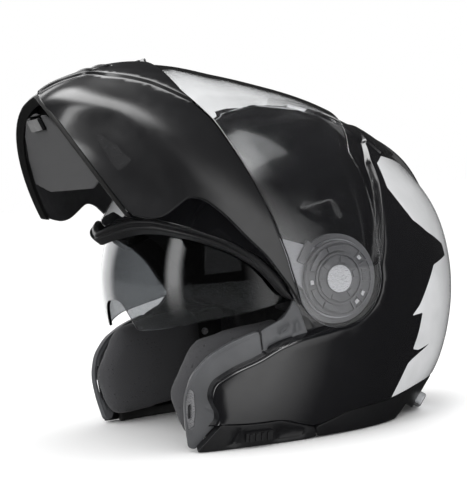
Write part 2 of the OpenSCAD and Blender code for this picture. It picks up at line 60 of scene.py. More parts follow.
# Side-view radius of each skin about the hinge: angle from the front upwards, radius in mm
CROWN = 132.5
PROUD_PROFILE = [(-90, 190), (-64, 213), (-47, 227), (-30, 228), (-10, 196), (8, 152),
                 (26, CROWN + 0.8), (45, CROWN + 0.8), (115, CROWN + 0.8), (127, CROWN + 2.2),
                 (143, 138), (162, 146), (180, 150), (200, 154), (213, 157), (226, 158),
                 (243, 169), (270, 190)]
RECESS_PROFILE = [(-90, 182), (-64, 205), (-47, 219), (-30, 220), (-10, 189), (8, 151),
                  (26, CROWN), (45, CROWN), (115, CROWN), (127, CROWN + 1.2), (143, 137),
                  (162, 145), (180, 149), (200, 153), (213, 156), (226, 157), (243, 167),
                  (270, 182)]
FRONT_PROFILE = [(-90, 190), (-64, 213), (-47, 227), (-30, 228), (-24.5, 224), (-18.5, 214),
                 (-9.6, 198), (-2.5, 183), (8.5, 162), (23.5, 146), (45, CROWN + 4.5),
                 (60, CROWN + 4.5), (200, CROWN + 4.5), (240, 165), (270, 190)]
SCOOP_PROFILE = [(-90, 120), (100, 120), (112, CROWN - 2), (124, CROWN + 1.2), (131, 137.5),
                 (143, 142.5), (152, 143.5), (160, 143), (170, 130), (270, 120)]
SHELL_HALF, RECESS_HALF, FRONT_HALF = 127, 117.5, 128
VISOR_CENTRE = (-12.0, HINGE_Z - 1)
VISOR_R, VISOR_HALF, VISOR_SQUARE = 113.0, 104.0, 2.3

# The half skin is unrolled on a disc: distance from the pole on the hinge axis, angle as in the
# side view. R0 is the disc's mm per radian, SEAM the distance of the middle plane from the pole.
R0 = 120.0
SEAM = R0 * math.pi / 2
SEAM_REACH = 0.06       # a disc point this near the seam lies on it
NORMAL_STEP = 0.4       # half width, on the disc, of the differences that give shading normals
SOFT_BEVEL = 6          # relief with a bevel from here up is a blurred swelling
LEAST_TRIANGLE = 1e-5   # twice the disc area under which a triangle is dropped


class Skin:
    """Superellipse sections about an axis parallel to X, through centre = (y, z)."""

    def __init__(self, profile, half, square=SQUARE, centre=(0.0, HINGE_Z), inset=0.0):
        knots = np.array(profile, float)
        self.angle, self.r = knots[:, 0], knots[:, 1] - inset
        before, after = np.r_[0, 0:len(knots) - 1], np.r_[1:len(knots), len(knots) - 1]
        self.slope = ((self.r[after] - self.r[before])
                      / (self.angle[after] - self.angle[before]))
        self.half, self.n, self.centre = half - inset, square, centre
        self.profile, self.full_half = profile, half

    def inset(self, by):
        """The surface that lies by mm inside this one; outside it where by is negative."""
        return Skin(self.profile, self.full_half, self.n, self.centre, by)

    def radius(self, phi):
        i = np.clip(np.searchsorted(self.angle, phi, "right") - 1, 0, len(self.angle) - 2)
        h = self.angle[i + 1] - self.angle[i]
        t = (phi - self.angle[i]) / h
        return ((2 * t**3 - 3 * t**2 + 1) * self.r[i] + (t**3 - 2 * t**2 + t) * h * self.slope[i]
                + (3 * t**2 - 2 * t**3) * self.r[i + 1] + (t**3 - t**2) * h * self.slope[i + 1])

    def at(self, ab):
        """Points (x, y, z) in mm of disc points (a, b). Beyond the seam x is negative."""
        rho = np.hypot(ab[:, 0], ab[:, 1])
        phi = np.degrees(np.arctan2(ab[:, 1], -ab[:, 0]))
        phi = np.where(phi < -90, phi + 360, phi)
        s = math.pi / 2 - rho / R0
        r = self.radius(phi) * np.abs(np.cos(s)) ** (2 / self.n)
        x = self.half * np.sign(s) * np.abs(np.sin(s)) ** (2 / self.n)
        p = np.radians(phi)
        return np.stack([x, self.centre[0] - r * np.cos(p), self.centre[1] + r * np.sin(p)], 1)

    def normal(self, ab, step=0.25):
        return normal_of(self.at, ab, step)

    def disc(self, points):
        """Disc points of side-view points (y, z), of points (x, y, z) near the skin, and of
        ("f", x, z), ("r", x, z) and ("t", x, y) seen from the front, from behind, from above."""
        out = []
        for p in points:
            if p[0] in ("f", "r", "t"):
                s = math.asin(min(1.0, (abs(p[1]) / self.half) ** (self.n / 2)))
                s = math.copysign(s, p[1])
                c = math.cos(s) ** (2 / self.n)
                if p[0] == "t":
                    phi = np.linspace(20, 175, 800)
                    value, want = -self.radius(phi) * np.cos(np.radians(phi)) * c, p[2]
                    want -= self.centre[0]
                else:
                    phi = np.linspace(-55, 80, 800) if p[0] == "f" else np.linspace(235, 95, 800)
                    value = self.radius(phi) * np.sin(np.radians(phi)) * c
                    want = p[2] - self.centre[1]
                phi = float(np.interp(want, value, phi))
            else:
                y, z = p[-2] - self.centre[0], p[-1] - self.centre[1]
                phi = math.degrees(math.atan2(z, -y))
                phi = phi + 360 if phi < -90 else phi
                ratio = math.hypot(y, z) / float(self.radius(np.array([phi]))[0])
                if len(p) == 3:
                    s = math.atan2((abs(p[0]) / self.half) ** (self.n / 2),
                                   ratio ** (self.n / 2))
                    s = math.copysign(s, p[0])
                elif ratio < 1:
                    s = math.acos(ratio ** (self.n / 2))
                else:
                    s = -(ratio - 1) * 1.2
            rho, angle = SEAM - R0 * s, math.radians(phi)
            out.append((-rho * math.cos(angle), rho * math.sin(angle)))
        return np.array(out)


def unit(v):
    return v / np.maximum(np.linalg.norm(v, axis=-1, keepdims=True), 1e-12)


def normal_of(surface, ab, step=NORMAL_STEP):
    da, db = np.array([[step, 0.0]]), np.array([[0.0, step]])
    return unit(np.cross(surface(ab + da) - surface(ab - da), surface(ab + db) - surface(ab - db)))


# ---- Flat geometry on the disc ----

def area(loop):
    x, y = loop[:, 0], loop[:, 1]
    return 0.5 * float(np.sum(x * np.roll(y, -1) - np.roll(x, -1) * y))


def soften(loop, radius, closed=True):
    """Rounds the corners of a polyline with short curves."""
    out, n = [], len(loop)
    for i in range(n):
        p = loop[i]
        if not closed and i in (0, n - 1):
            out.append(p)
            continue
        a, b = loop[i - 1] - p, loop[(i + 1) % n] - p
        la, lb = np.linalg.norm(a), np.linalg.norm(b)
        cut = min(radius, 0.45 * la, 0.45 * lb)
        if cut < 0.05:
            out.append(p)
            continue
        p0, p1 = p + a / la * cut, p + b / lb * cut
        out += [(1 - t)**2 * p0 + 2 * t * (1 - t) * p + t * t * p1 for t in (0, .25, .5, .75, 1)]
    return np.array(out)


def resample(loop, gap, closed=True):
    """Adds points so that no edge is longer than gap, and drops points that nearly coincide."""
    ends = np.roll(loop, -1, 0) if closed else loop[1:]
    out = []
    for p, q in zip(loop, ends):
        length = float(np.linalg.norm(q - p))
        if length < 0.08:
            continue
        k = max(1, math.ceil(length / gap))
        out += [p + (q - p) * i / k for i in range(k)]
    if not closed:
        out.append(loop[-1])
    return np.array(out)


def inside(points, loop):
    x, y = points[:, 0], points[:, 1]
    hit = np.zeros(len(points), bool)
    for (x0, y0), (x1, y1) in zip(loop, np.roll(loop, -1, 0)):
        if y0 == y1:
            continue
        crosses = (y0 > y) != (y1 > y)
        hit ^= crosses & (x < (x1 - x0) * (y - y0) / (y1 - y0) + x0)
    return hit


def distance(points, line, closed=True):
    """Distance of each point from a polyline."""
    ends = np.roll(line, -1, 0) if closed else line[1:]
    starts = line if closed else line[:-1]
    best = np.full(len(points), 1e9)
    for p, q in zip(starts, ends):
        d = q - p
        t = np.clip(((points - p) @ d) / max(float(d @ d), 1e-12), 0, 1)
        best = np.minimum(best, np.linalg.norm(points - p - t[:, None] * d, axis=1))
    return best


def ramp(t):
    t = np.clip(t, 0, 1)
    return t * t * (3 - 2 * t)


def shifted(loop, dist, closed=True):
    """The polyline moved to its left by dist, on the disc."""
    before, after = np.roll(loop, 1, 0), np.roll(loop, -1, 0)
    if not closed:
        before[0], after[-1] = loop[0], loop[-1]
    t = unit(after - before)
    return loop + dist * np.stack([-t[:, 1], t[:, 0]], 1)


CLOUD_REACH, CLOUD_SIGMA = 1.2, 0.42   # reach and deviation of the blur, in bevel widths


def cloud(loop, height, blur, step=1.5):
    """A swelling with soft flanks: the loop's inside, blurred, as a function of disc points."""
    lo = loop.min(0) - 2 * blur
    count = np.ceil((loop.max(0) + 2 * blur - lo) / step).astype(int) + 1
    grid = np.stack(np.meshgrid(*(lo[i] + step * np.arange(count[i]) for i in (0, 1))), -1)
    mask = inside(grid.reshape(-1, 2), loop).astype(float).reshape(count[1], count[0])
    last = math.ceil(CLOUD_REACH * blur / step)
    reach = np.arange(-last, last + 1) * step
    kernel = np.exp(-0.5 * (reach / (CLOUD_SIGMA * blur)) ** 2)
    kernel /= kernel.sum()
    for axis in (0, 1):
        mask = np.apply_along_axis(lambda row: np.convolve(row, kernel, "same"), axis, mask)

    def value(ab):
        q = (ab - lo) / step
        i = np.clip(np.floor(q).astype(int), 0, count - 2)
        t = np.clip(q - i, 0, 1)
        x, y = i[:, 0], i[:, 1]
        out = ((mask[y, x] * (1 - t[:, 0]) + mask[y, x + 1] * t[:, 0]) * (1 - t[:, 1])
               + (mask[y + 1, x] * (1 - t[:, 0]) + mask[y + 1, x + 1] * t[:, 0]) * t[:, 1])
        return height * out * np.all((q >= 0) & (q <= count - 1), axis=1)
    return value


# ---- Panels: a cut of a skin with thickness, a rounded rim, relief and painted zones ----

def in_place(points, flip):
    """Hinge-frame mm to the row frame in metres, turned about the hinge by flip degrees."""
    t = math.radians(-flip)
    y, z = points[:, 1], points[:, 2] - HINGE_Z
    return np.stack([points[:, 0], y * math.cos(t) - z * math.sin(t) + HINGE_Y,
                     y * math.sin(t) + z * math.cos(t) + HINGE_Z], 1) * MM


def turned(vectors, flip):
    t = math.radians(-flip)
    y, z = vectors[:, 1], vectors[:, 2]
    return np.stack([vectors[:, 0], y * math.cos(t) - z * math.sin(t),
                     y * math.sin(t) + z * math.cos(t)], 1)


def add_mesh(name, verts, faces, mats, body, stands_for=(), face_mat=None,
             loop_normals=None, smooth=True):
    mesh = bpy.data.meshes.new(name)
    mesh.from_pydata([tuple(v) for v in verts], [], [tuple(int(i) for i in f) for f in faces])
    for m in mats:
        mesh.materials.append(m)
    if face_mat is not None:
        mesh.polygons.foreach_set("material_index", np.asarray(face_mat, np.int32))
    mesh.polygons.foreach_set("use_smooth", np.full(len(faces), smooth))
    if loop_normals is not None:
        mesh.normals_split_custom_set([tuple(v) for v in loop_normals])
    mesh.update()
    obj = bpy.data.objects.new(name, mesh)
    bpy.context.scene.collection.objects.link(obj)
    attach(obj, body)
    if stands_for:
        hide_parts(*stands_for)
    return obj


RIM_STEPS = (0.0, 0.15, 0.5, 1.0)
BEVEL_STEPS = (0, 0.25, 0.5, 0.75, 1)
MIRROR = [-1, 1, 1]


def panel(name, skin, outline, thick, mats, body, stands_for=(), rim=0.8, gap=3.2,
          side=0, holes=(), zones=(), relief=(), flip=0.0, corner=4.0):
    """Cuts a panel out of a skin. outline and holes are lists of points for Skin.disc; zones are
    (points, material index); relief is (points, height or function, bevel), raised inside.
    side 0 makes both halves, 1 or -1 the left or the right one; flip swings it up the hinge."""
    loops = [soften(skin.disc(outline), corner)] + [soften(skin.disc(h), corner) for h in holes]
    for i, loop in enumerate(loops):
        if (area(loop) > 0) != (i == 0):
            loop = loop[::-1]
        loops[i] = resample(loop, gap)
    reliefs = []
    for points, height, bevel in relief:
        loop = resample(soften(skin.disc(points), 3.0), gap)
        reliefs.append((loop if area(loop) > 0 else loop[::-1], height, bevel))
    zone_loops = [(resample(soften(skin.disc(p), 1.2), gap), m) for p, m in zones]

    clouds = [cloud(loop, height, bevel) for loop, height, bevel in reliefs if bevel >= SOFT_BEVEL]
    reliefs = [r for r in reliefs if r[2] < SOFT_BEVEL]

    def lift(ab):
        h = sum((c(ab) for c in clouds), np.zeros(len(ab)))
        for loop, height, bevel in reliefs:
            signed = distance(ab, loop) * np.where(inside(ab, loop), 1, -1)
            value = height(ab) if callable(height) else height
            h = h + value * ramp(signed / bevel)
        return h

    def surface(ab):
        return skin.at(ab) + skin.normal(ab) * lift(ab)[:, None]

    # constraint lines: rims, zone borders, relief bevels and the seam
    verts, edges = [], []

    def add_line(line, closed=True):
        base = len(verts)
        verts.extend(line)
        n = len(line)
        edges.extend((base + i, base + (i + 1) % n) for i in range(n if closed else n - 1))

    shift = []
    for loop in loops:
        before, after = np.roll(loop, 1, 0), np.roll(loop, -1, 0)
        tangent = skin.at(after) - skin.at(before)
        step = unit(np.cross(skin.normal(loop), tangent))
        pa = (skin.at(loop + [[.1, 0]]) - skin.at(loop - [[.1, 0]])) / 0.2
        pb = (skin.at(loop + [[0, .1]]) - skin.at(loop - [[0, .1]])) / 0.2
        jac = np.stack([pa, pb], 2)
        shift.append(np.einsum("nij,nj->ni", np.linalg.pinv(jac), step) * rim)
    for loop, move in zip(loops, shift):
        for f in RIM_STEPS:
            add_line(loop + move * f)
    for loop, _ in zone_loops:
        add_line(loop)
    for loop, _, bevel in reliefs:
        for f in BEVEL_STEPS:
            add_line(shifted(loop, bevel * f))
    circle = np.radians(np.linspace(0, 360, 240, endpoint=False))
    add_line(np.stack([SEAM * np.cos(circle), SEAM * np.sin(circle)], 1))

    fixed = np.array(verts)
    lo, hi = np.maximum(loops[0].min(0), -SEAM), np.minimum(loops[0].max(0), SEAM)
    grid = np.stack(np.meshgrid(np.arange(lo[0], hi[0], gap), np.arange(lo[1], hi[1], gap)), -1)
    grid = grid.reshape(-1, 2) + 0.013
    keep = inside(grid, loops[0]) & (np.hypot(grid[:, 0], grid[:, 1]) < SEAM - 0.5 * gap)
    for h in loops[1:]:
        keep &= ~inside(grid, h)
    grid = grid[keep]
    near = np.array([np.min(np.hypot(*(fixed - g).T)) for g in grid]) if len(grid) else []
    grid = grid[np.asarray(near) > 0.55 * gap] if len(grid) else grid
    out = delaunay_2d_cdt([Vector(v) for v in [*fixed, *grid]], edges, [], 0, 1e-5)
    ab = np.array([tuple(v) for v in out[0]])
    tris = np.array([t for t in out[2] if len(t) == 3])
    middle = ab[tris].mean(1)
    keep = inside(middle, loops[0]) & (np.hypot(middle[:, 0], middle[:, 1]) < SEAM - 0.01)
    for h in loops[1:]:
        keep &= ~inside(middle, h)
    corners = ab[tris]
    size = np.cross(corners[:, 1] - corners[:, 0], corners[:, 2] - corners[:, 0])
    keep &= np.abs(size) > LEAST_TRIANGLE
    tris = tris[keep]
    tris[size[keep] < 0] = tris[size[keep] < 0][:, ::-1]
    used = np.unique(tris)
    index = np.full(len(ab), -1)
    index[used] = np.arange(len(used))
    ab, tris = ab[used], index[tris]
    seam = np.hypot(ab[:, 0], ab[:, 1]) > SEAM - SEAM_REACH

    # outward edge direction and rim rounding
    pairs = {}
    for a, b, c in tris.tolist():
        for p, q in ((a, b), (b, c), (c, a)):
            pairs[(p, q)] = True
    border = [(p, q) for p, q in pairs if (q, p) not in pairs and not (seam[p] and seam[q])]
    top = surface(ab)
    shade = normal_of(surface, ab)
    base_normal = skin.normal(ab)
    away = np.zeros_like(top)
    for p, q in border:
        m = np.cross(top[q] - top[p], base_normal[p])
        m = m / max(np.linalg.norm(m), 1e-9)
        away[p] += m
        away[q] += m
    edge_points = np.array(sorted({i for e in border for i in e}), int)
    away = unit(away)
    outline_all = np.concatenate(loops)
    reach_all = np.concatenate([np.linalg.norm(m, axis=1) for m in shift])
    dist = np.min([distance(ab, loop) for loop in loops], axis=0)
    depth, lean = np.zeros(len(ab)), np.zeros(len(ab))
    if len(edge_points):
        candidates = np.where(dist < reach_all.max() * 1.05)[0]
        for i in candidates:
            k = int(np.argmin(np.hypot(*(outline_all - ab[i]).T)))
            q = min(1.0, dist[i] / max(reach_all[k], 1e-6))
            if q < 0.999:
                depth[i] = rim * (1 - math.sqrt(max(0.0, 1 - (1 - q)**2)))
                lean[i] = 1 - q
                if i not in edge_points:
                    e = edge_points[int(np.argmin(np.hypot(*(ab[edge_points] - ab[i]).T)))]
                    away[i] = away[e]
    normal = unit(np.sqrt(1 - lean**2)[:, None] * shade + lean[:, None] * away)
    outer = top - base_normal * depth[:, None]
    inner = top - base_normal * thick
    for sheet in (outer, inner):
        sheet[seam, 0] = 0.0
    for v in (normal, away, shade):
        v[seam, 0] = 0.0
    n = len(ab)
    points = np.concatenate([outer, inner])
    if not flip:
        points[:, 2] = np.maximum(points[:, 2], 0.0)   # what reaches the ground ends flat on it
    faces = [(a, b, c) for a, b, c in tris.tolist()]
    face_mat = np.zeros(len(faces), int)
    middle = ab[tris].mean(1)
    for loop, m in zone_loops:
        face_mat[inside(middle, loop)] = m
    face_mat = face_mat.tolist()
    normals = [normal[i] for f in faces for i in f]
    first = len(faces)
    for i in range(first):
        a, b, c = faces[i]
        faces.append((c + n, b + n, a + n))
        face_mat.append(face_mat[i] if len(mats) < 2 else len(mats) - 1)
        normals += [-shade[c], -shade[b], -shade[a]]
    for p, q in border:
        faces.append((q, p, p + n, q + n))
        face_mat.append(0 if len(mats) < 2 else len(mats) - 1)
        normals += [away[q], away[p], away[p], away[q]]
    normals = np.array(normals)
    starts = np.cumsum([0] + [len(f) for f in faces])
    mirrored_normals = MIRROR * np.concatenate(
        [normals[s:s + len(f)][::-1] for f, s in zip(faces, starts)])
    if side == 0:
        seam2 = np.concatenate([seam, seam])
        twin = np.arange(2 * n)
        free = np.where(~seam2)[0]
        twin[free] = 2 * n + np.arange(len(free))
        points = np.concatenate([points, points[free] * MIRROR])
        faces = faces + [tuple(int(twin[i]) for i in f[::-1]) for f in faces]
        face_mat = face_mat + face_mat
        normals = np.concatenate([normals, mirrored_normals])
    elif side < 0:
        points = points * MIRROR
        normals = mirrored_normals
        faces = [f[::-1] for f in faces]
    return add_mesh(name, in_place(points, flip), faces, mats, body, stands_for, face_mat,
                    turned(normals, flip))


# ---- Materials ----

def material(name):
    mat = bpy.data.materials.new(name)
    mat.use_nodes = True
    return mat, mat.node_tree, mat.node_tree.nodes["Principled BSDF"]


def noise(tree, scale, detail=3.0, stretch=(1, 1, 1), kind="ShaderNodeTexNoise"):
    """A pattern in the row frame, in features per metre."""
    coord = tree.nodes.new("ShaderNodeTexCoord")
    mapping = tree.nodes.new("ShaderNodeMapping")
    mapping.inputs["Scale"].default_value = stretch
    tex = tree.nodes.new(kind)
    tex.inputs["Scale"].default_value = scale
    if "Detail" in tex.inputs:
        tex.inputs["Detail"].default_value = detail
    tree.links.new(coord.outputs["Object"], mapping.inputs["Vector"])
    tree.links.new(mapping.outputs["Vector"], tex.inputs["Vector"])
    return tex


def spread(tree, value, low, high, start=0.3, end=0.7):
    remap = tree.nodes.new("ShaderNodeMapRange")
    for key, v in (("From Min", start), ("From Max", end), ("To Min", low), ("To Max", high)):
        remap.inputs[key].default_value = v
    tree.links.new(value, remap.inputs["Value"])
    return remap.outputs["Result"]


def tint(tree, value, dark, light):
    mix = tree.nodes.new("ShaderNodeMix")
    mix.data_type = "RGBA"
    mix.inputs["A"].default_value = (*dark, 1)
    mix.inputs["B"].default_value = (*light, 1)
    tree.links.new(value, mix.inputs["Factor"])
    return mix.outputs["Result"]


def bump(tree, height, strength, size, shader):
    b = tree.nodes.new("ShaderNodeBump")
    b.inputs["Strength"].default_value = strength
    b.inputs["Distance"].default_value = size
    tree.links.new(height, b.inputs["Height"])
    tree.links.new(b.outputs["Normal"], shader.inputs["Normal"])


def shades(color, dark=0.82, light=1.15):
    return [tuple(min(1, c * k) for c in color) for k in (dark, light)]


def paint(name, color, rough=(0.16, 0.26), coat=1.0, coat_rough=0.04, peel=0.03):
    """Gloss paint under clear coat, with orange peel and faint handling marks."""
    mat, tree, p = material(name)
    cloud = noise(tree, 14, 4)
    tree.links.new(tint(tree, spread(tree, cloud.outputs["Fac"], 0, 1),
                   *shades(color)), p.inputs["Base Color"])
    marks = noise(tree, 130, 5)
    tree.links.new(spread(tree, marks.outputs["Fac"], *rough), p.inputs["Roughness"])
    p.inputs["Coat Weight"].default_value = coat
    p.inputs["Coat Roughness"].default_value = coat_rough
    bump(tree, noise(tree, 420, 2).outputs["Fac"], peel, 0.0006, p)
    return mat


def moulded(name, color, rough=(0.38, 0.52), grain=1500, strength=0.18, specular=0.5):
    """Satin moulded plastic with a fine grain."""
    mat, tree, p = material(name)
    cloud = noise(tree, 30, 4)
    tree.links.new(tint(tree, spread(tree, cloud.outputs["Fac"], 0, 1),
                   *shades(color)), p.inputs["Base Color"])
    tree.links.new(spread(tree, noise(tree, 200, 4).outputs["Fac"], *rough),
              p.inputs["Roughness"])
    p.inputs["Specular IOR Level"].default_value = specular
    bump(tree, noise(tree, grain, 2).outputs["Fac"], strength, 0.0003, p)
    return mat


def rubber(name, color):
    return moulded(name, color, (0.45, 0.62), 900, 0.12, 0.4)


def mesh_fabric(name, color, cell=560, strength=0.9, thread=2600):
    """Knitted spacer mesh: round holes between raised threads, with painted shade darkening the
    holes by their depth and the raised threads painted lighter.
    """
    mat, tree, p = material(name)
    holes = noise(tree, cell, kind="ShaderNodeTexVoronoi")
    holes.inputs["Randomness"].default_value = 0.35
    height = spread(tree, holes.outputs["Distance"], 0.0, 1.0, 0.15, 0.62)
    fibre = noise(tree, thread, 3)
    add = tree.nodes.new("ShaderNodeMath")
    add.operation = "MULTIPLY_ADD"
    add.inputs[1].default_value = 0.35
    tree.links.new(fibre.outputs["Fac"], add.inputs[0])
    tree.links.new(height, add.inputs[2])
    # painted shade: the colour follows the bump's height, dark down in the holes and light on the
    # raised threads
    dark, light = tuple(c * 0.12 for c in color), tuple(min(1, c * 2.0) for c in color)
    tree.links.new(tint(tree, height, dark, light), p.inputs["Base Color"])
    tree.links.new(spread(tree, fibre.outputs["Fac"], 0.75, 0.95), p.inputs["Roughness"])
    p.inputs["Sheen Weight"].default_value = 0.08
    p.inputs["Sheen Roughness"].default_value = 0.45
    bump(tree, add.outputs["Value"], strength, 0.0009, p)
    return mat


def hide(name, color):
    """Leatherette with a pebbled grain, its grooves darkened as painted shade."""
    mat, tree, p = material(name)
    cells = noise(tree, 950, kind="ShaderNodeTexVoronoi")
    cells.feature = "DISTANCE_TO_EDGE"
    height = spread(tree, cells.outputs["Distance"], 0, 1, 0.0, 0.12)
    # painted shade: the colour follows the bump's height, darker in the grooves between the
    # pebbles
    tree.links.new(tint(tree, height, *shades(color, 0.5, 1.2)), p.inputs["Base Color"])
    tree.links.new(spread(tree, noise(tree, 90, 4).outputs["Fac"], 0.4, 0.6),
              p.inputs["Roughness"])
    bump(tree, height, 0.5, 0.0004, p)
    return mat


def foam(name, color):
    """Expanded bead foam, darker between the beads and lighter on their tops as painted shade."""
    mat, tree, p = material(name)
    beads = noise(tree, 330, kind="ShaderNodeTexVoronoi")
    height = spread(tree, beads.outputs["Distance"], 1, 0, 0.1, 0.75)
    # painted shade: the colour follows the bump's height, dark between the beads and light on
    # their tops
    tree.links.new(tint(tree, height, *shades(color, 0.6, 1.3)), p.inputs["Base Color"])
    tree.links.new(spread(tree, noise(tree, 300, 3).outputs["Fac"], 0.7, 0.9),
              p.inputs["Roughness"])
    bump(tree, height, 0.7, 0.0008, p)
    return mat


def weave(name, color, pitch=1900):
    """Woven webbing: crossed fine ribs, darkened between the ribs and lightened where they cross
    as painted shade.
    """
    mat, tree, p = material(name)
    ribs = []
    for direction in ("X", "Y"):
        wave = noise(tree, pitch / 6.28, kind="ShaderNodeTexWave")
        wave.bands_direction = direction
        wave.inputs["Distortion"].default_value = 0.4
        ribs.append(wave.outputs["Fac"])
    mul = tree.nodes.new("ShaderNodeMath")
    mul.operation = "MULTIPLY"
    tree.links.new(ribs[0], mul.inputs[0])
    tree.links.new(ribs[1], mul.inputs[1])
    # painted shade: the colour follows the ribs' height, dark between them and light where they
    # cross
    tree.links.new(tint(tree, mul.outputs["Value"], *shades(color, 0.4, 1.6)),
              p.inputs["Base Color"])
    tree.links.new(spread(tree, ribs[0], 0.6, 0.85, 0, 1), p.inputs["Roughness"])
    bump(tree, mul.outputs["Value"], 0.6, 0.0005, p)
    return mat


def steel(name, color, rough=(0.22, 0.38)):
    """Plated steel with fine brushing."""
    mat, tree, p = material(name)
    lines = noise(tree, 260, 3, stretch=(6, 1, 14))
    tree.links.new(tint(tree, spread(tree, lines.outputs["Fac"], 0, 1),
                   *shades(color, 0.85, 1.1)), p.inputs["Base Color"])
    tree.links.new(spread(tree, lines.outputs["Fac"], *rough), p.inputs["Roughness"])
    p.inputs["Metallic"].default_value = 1.0
    bump(tree, lines.outputs["Fac"], 0.08, 0.0002, p)
    return mat


def pane(name, color, rough=(0.0, 0.02), lamp=(0.9, 0.9, 0.9), ior=1.5):
    """Clear or tinted polycarbonate that lets lamps through, with faint smears."""
    mat, tree, p = material(name)
    smear = noise(tree, 22, 5)
    tree.links.new(tint(tree, spread(tree, smear.outputs["Fac"], 0, 1),
                   *shades(color, 0.97, 1.0)), p.inputs["Base Color"])
    tree.links.new(spread(tree, smear.outputs["Fac"], *rough), p.inputs["Roughness"])
    p.inputs["Transmission Weight"].default_value = 1.0
    p.inputs["IOR"].default_value = ior
    clear = tree.nodes.new("ShaderNodeBsdfTransparent")
    clear.inputs["Color"].default_value = (*lamp, 1)
    path, mix = tree.nodes.new("ShaderNodeLightPath"), tree.nodes.new("ShaderNodeMixShader")
    tree.links.new(path.outputs["Is Shadow Ray"], mix.inputs["Fac"])
    tree.links.new(p.outputs["BSDF"], mix.inputs[1])
    tree.links.new(clear.outputs["BSDF"], mix.inputs[2])
    tree.links.new(mix.outputs["Shader"], tree.nodes["Material Output"].inputs["Surface"])
    return mat


BLACK = paint("gloss_black", (0.006, 0.006, 0.007))
CHIN = paint("chin_gloss_black", (0.009, 0.009, 0.010), (0.28, 0.38), 0.85, 0.1)
WHITE = paint("gloss_white", (0.7, 0.705, 0.715), peel=0.015)
RAW = moulded("shell_inside", (0.02, 0.02, 0.022), (0.5, 0.7))
FRAME_GREY = moulded("satin_grey_frame", (0.085, 0.087, 0.092), (0.32, 0.44))
TRIM = moulded("satin_black_trim", (0.009, 0.009, 0.010), (0.3, 0.42), strength=0.12)
RUBBER = rubber("edge_rubber", (0.006, 0.006, 0.006))
BEAD = moulded("brow_rubber", (0.014, 0.014, 0.015), (0.3, 0.42), 700, 0.08)
MESH = mesh_fabric("cheek_mesh_fabric", (0.028, 0.028, 0.03), 290, 1.0)
CURTAIN = mesh_fabric("curtain_fabric", (0.018, 0.018, 0.019), 700, 0.6)
LEATHER = hide("neck_leatherette", (0.02, 0.02, 0.021))
EPS = foam("black_bead_foam", (0.02, 0.02, 0.022))
WEBBING = weave("black_webbing", (0.015, 0.015, 0.016))
STEEL = steel("bright_plate", (0.6, 0.6, 0.62))
ZINC = steel("zinc_plate", (0.42, 0.42, 0.44), (0.35, 0.5))
ACETAL = moulded("grey_acetal", (0.12, 0.12, 0.126), (0.3, 0.42))
NYLON = moulded("filled_nylon", (0.02, 0.02, 0.02), (0.4, 0.6), 900, 0.3)
RED = moulded("red_lever", (0.35, 0.012, 0.012), (0.35, 0.45))
PALE = paint("pale_grey_paint", (0.5, 0.51, 0.53), coat=0.5)
CLEAR = pane("clear_polycarbonate", (0.97, 0.975, 0.98))
SMOKE = pane("smoked_polycarbonate", (0.3, 0.31, 0.32), lamp=(0.25, 0.25, 0.26))

# ---- Skins ----

PROUD = Skin(PROUD_PROFILE, SHELL_HALF)
RECESS = Skin(RECESS_PROFILE, RECESS_HALF)
FRONT = Skin(FRONT_PROFILE, FRONT_HALF)


# ---- Outer shell ----

SPLIT_LINE = [(-91, 26), (-97, 38), (-95, 46), (-80, 54), (-62, 60), (-48, 67), (-31, 72),
              (-15, 74)]
SWEEP_REAR = [(42, 133), (47, 157), (52, 180), (53, 195), (60, 208), (70, 220), (82, 234)]
EYEPORT = [(-121, 166), (-111, 165), (-92, 157), (-71, 146), (-55, 134), (-42, 118), (-33, 100),
           (-38, 93), (-55, 79), (-68, 76), (-83, 71), (-95, 63), (-103, 54), (-107, 40),
           (-104.4, 13)]
BASE_CUT = [(-91, 19), (-46, 17), (-20, 8.4), (9, 16.5), (48, 19), (80, 24), (190, 26)]
FAR = [(330, 120), (240, 330), (0, 430), (-260, 360), (-330, 172)]
END_R = 35.0


def arc(r, start, end, count):
    return [(r * math.cos(math.radians(a)), HINGE_Z + r * math.sin(math.radians(a)))
            for a in np.linspace(start, end, count)]


def recess_depth(ab):
    """How far the recess lies under the proud skin, along its normal."""
    return -np.abs(np.sum((PROUD.at(ab) - RECESS.at(ab)) * PROUD.normal(ab), 1))


sweep = ([(-330, 172), (-300, -40), (-120, -30), (-107, 0), (-91, 19)] + SPLIT_LINE
         + arc(END_R + 2, -92, 7, 12) + SWEEP_REAR + [(90, 300), (0, 430), (-260, 360)])
white_front = [(-22, -150, 190), (22, -121, 167), (20, -80, 215), (21, -42, 238), (24, -20, 243),
               (25, -9, 244), (35, 0, 242), (42, 13, 239), (38, 31, 237), (20, 24, 241),
               (-20, 24, 242)]
white_rear = [(-20, 141, 168), (24, 134, 168), (44, 116, 178), (60, 92, 190), (78.7, 68, 197.7),
              (89.9, 57.6, 192.6), (102.3, 57.3, 174.4), (105.6, 75.6, 148.7), (100, 90, 139),
              (86, 112, 128), (84, 114, 119), (100, 91, 114), (109.5, 71.5, 87), (112, 63, 80),
              (106.5, 74, 81), (106, 67, 54), (102, 73, 53), (96, 86, 56), (104, 63, 44),
              (102, 49, 20), (96, 55, 6), (-20, 108, 0)]
panel(
    "shell", PROUD, [(-330, 172)] + EYEPORT + BASE_CUT + FAR[:-1], 5, [BLACK, WHITE, RAW],
    "helmet", ("outer_shell",), rim=0.9, gap=3.4,
    holes=[[("t", -30, -18), ("t", 22.6, -18), ("t", 22.6, 27.6), ("t", -30, 27.6)]],
    zones=[(white_front, 1), (white_rear, 1)], relief=[(sweep, recess_depth, 3.2),
            ([(-22, 167.5), (-11, 157.5), (13, 157), (7.5, 173)], -1.0, 1.4),
            ([("t", -30, 17), ("t", 18, 16), ("t", 38, 26), ("t", 50, 43), ("t", 71, 59),
              ("t", 78, 69), ("t", 60, 86), ("t", 38, 104), ("t", -30, 118)], 1.8, 1.6)])

# ---- Front: chin bar and face shield, drawn closed and standing open by FLIP ----

